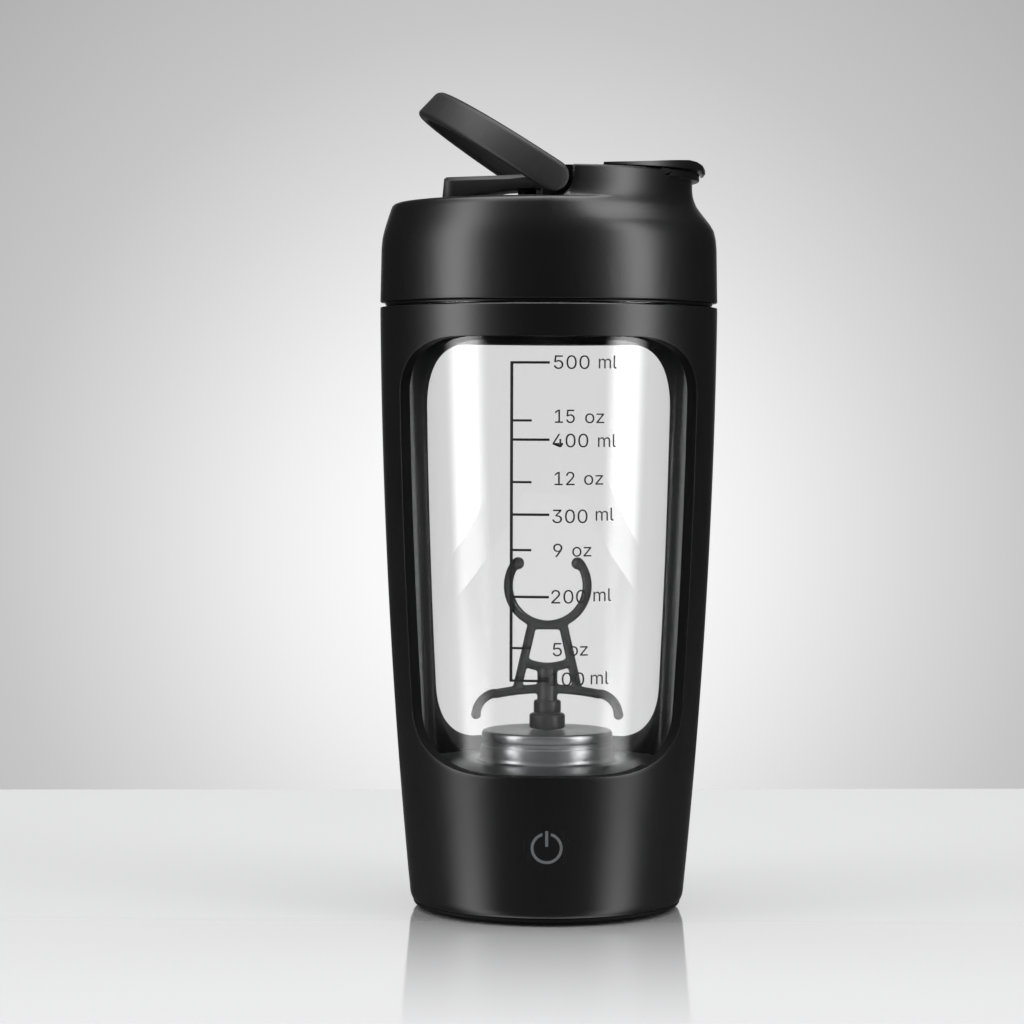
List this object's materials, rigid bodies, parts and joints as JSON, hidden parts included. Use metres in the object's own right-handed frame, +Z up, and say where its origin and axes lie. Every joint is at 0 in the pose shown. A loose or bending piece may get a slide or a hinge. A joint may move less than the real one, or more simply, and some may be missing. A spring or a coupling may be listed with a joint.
{
  "type": "shaker bottle",
  "caption": "Tapered rechargeable shaker bottle with windowed outer shell, clear cup, motor-driven stirrer, screw lid, flip cap and carry loop.",
  "frame": {"origin": "centre of the underside, on the surface it stands on", "axes": "+Z up along the bottle's axis; +X towards the drinking side and cap lip; -Y towards the power button and the printed scale"},
  "size_m": [0.092, 0.092, 0.2223],
  "materials": {
    "shell": "fine matt texture",
    "clear": "clear moulded plastic, polished",
    "ink": "printed ink",
    "polished_steel": "polished stainless steel",
    "silicone_grey": "silicone",
    "silicone_dark": "silicone",
    "silicone_white": "silicone",
    "holder": "moulded",
    "motor_steel": "plated can",
    "screw_steel": "plated",
    "pin_steel": "ground",
    "shaft_steel": "ground",
    "socket_steel": "pressed",
    "cell_wrap": "shrink sleeve",
    "board": "solder mask",
    "switch_body": "moulded",
    "base_black": "moulded",
    "foot_rubber": "matt rubber",
    "liner": "moulded",
    "loop_black": "fine matt texture",
    "icon_grey": "printed",
    "coupling_black": "moulded",
    "stirrer_dark": "moulded, slight sheen"
  },
  "bodies": {
    "bottle": {"outer_shell": "shell", "clear_cup": "clear", "scale_print": "ink", "floor_plate": "polished_steel", "floor_gasket": "silicone_grey", "dome_gasket": "silicone_grey", "shaft_seal": "silicone_dark", "motor_holder": "holder", "motor_can": "motor_steel", "motor_screws": "screw_steel", "battery_cells": "cell_wrap", "control_board": "board", "charge_socket": "socket_steel", "switch_board": "board", "push_switch": "switch_body", "base_cover": "base_black", "base_screws": "screw_steel", "foot_ring": "foot_rubber"},
    "lid_seal": {"lid_gasket": "silicone_white"},
    "lid": {"lid_shell": "shell", "lid_liner": "liner", "loop_pins": "pin_steel", "cap_pin": "pin_steel", "flap_pin": "pin_steel"},
    "loop": {"carry_loop": "loop_black"},
    "cap": {"flip_cap": "shell", "cap_plug": "silicone_dark"},
    "flap": {"vent_flap": "loop_black", "vent_plug": "silicone_dark"},
    "button": {"power_button": "shell", "button_icon": "icon_grey"},
    "rotor": {"motor_shaft": "shaft_steel", "drive_coupling": "coupling_black"},
    "whisk": {"stirrer": "stirrer_dark", "hub_collar": "coupling_black"},
    "port": {"port_plug": "silicone_dark"}
  },
  "joints": [
    {"name": "lid_lift", "type": "slide", "parent": "bottle", "child": "lid_seal", "axis": [0, 0, 1], "range_m": [0, 0.0196]},
    {"name": "lid_turn", "type": "hinge", "parent": "lid_seal", "child": "lid", "pos_m": [0, 0, 0.17], "axis": [0, 0, 1], "range_deg": [0, 1170]},
    {"name": "loop_swing", "type": "hinge", "parent": "lid", "child": "loop", "pos_m": [0.001, 0, 0.1973], "axis": [0, 1, 0], "range_deg": [-31.5, 57]},
    {"name": "cap_flip", "type": "hinge", "parent": "lid", "child": "cap", "pos_m": [0.0125, 0, 0.201], "axis": [0, -1, 0], "range_deg": [0, 140]},
    {"name": "vent_lift", "type": "hinge", "parent": "lid", "child": "flap", "pos_m": [0.001, 0, 0.1973], "axis": [0, 1, 0], "range_deg": [0, 45]},
    {"name": "button_press", "type": "slide", "parent": "bottle", "child": "button", "axis": [0, 1, 0], "range_m": [0, 0.0008], "stiffness_N_per_m": 1200},
    {"name": "stirrer_spin", "type": "hinge", "parent": "bottle", "child": "rotor", "pos_m": [0, 0, 0.05], "axis": [0, 0, 1], "continuous": true},
    {"name": "stirrer_lift", "type": "slide", "parent": "rotor", "child": "whisk", "axis": [0, 0, 1], "range_m": [0, 0.04]},
    {"name": "port_pull", "type": "slide", "parent": "bottle", "child": "port", "axis": [0, 1, 0], "range_m": [0, 0.012]}
  ],
  "couplings": [
    {"joint": "lid_lift", "follows": "lid_turn", "m_per_rad": 0.00095493}
  ]
}
